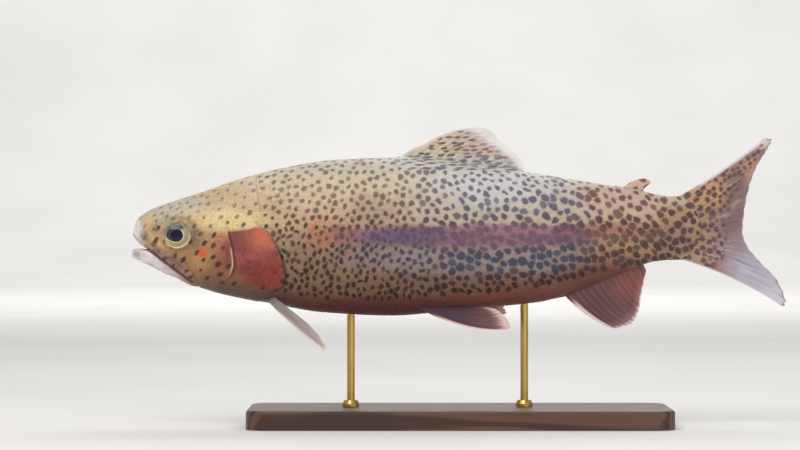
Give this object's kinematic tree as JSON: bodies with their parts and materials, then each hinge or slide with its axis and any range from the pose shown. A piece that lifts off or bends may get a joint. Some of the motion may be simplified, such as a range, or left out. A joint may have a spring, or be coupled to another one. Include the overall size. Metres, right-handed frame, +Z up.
{
  "type": "rainbow trout model on a display stand",
  "caption": "Life-size still model of a rainbow trout in a level swimming pose, mouth slightly open, fins spread, held over a flat wooden base by slim brass rods.",
  "frame": {"origin": "centre of the stand base's underside, at the height it stands on", "axes": "+X from the snout towards the tail, -Y out of the fish's left flank, +Z up"},
  "size_m": [0.4203, 0.104, 0.1907],
  "materials": {
    "skin": "satin, painted as spotted fish skin",
    "jaw": "satin, painted as pale skin",
    "gill": "satin, painted rose red",
    "pale_fin": "satin, thin fin membrane",
    "dark_fin": "satin, thin fin membrane, maroon",
    "eye": "polished",
    "stand_wood": "oiled dark wood",
    "stand_brass": "brushed"
  },
  "bodies": {
    "root": {"head": "skin", "lower_jaw": "jaw", "upper_jaw_plate_left": "jaw", "upper_jaw_plate_right": "jaw", "gill_cover_left": "gill", "gill_cover_right": "gill", "eye_left": "eye", "eye_right": "eye", "trunk_front": "skin", "trunk_rear": "skin", "tail_stem": "skin", "dorsal_fin": "pale_fin", "adipose_fin": "skin", "caudal_fin": "pale_fin", "anal_fin": "dark_fin", "pectoral_fin_left": "pale_fin", "pectoral_fin_right": "pale_fin", "pelvic_fin_left": "dark_fin", "pelvic_fin_right": "dark_fin", "stand_base": "stand_wood", "stand_rod_front": "stand_brass", "stand_rod_rear": "stand_brass", "stand_collar_front": "stand_brass", "stand_collar_rear": "stand_brass"}
  },
  "joints": []
}
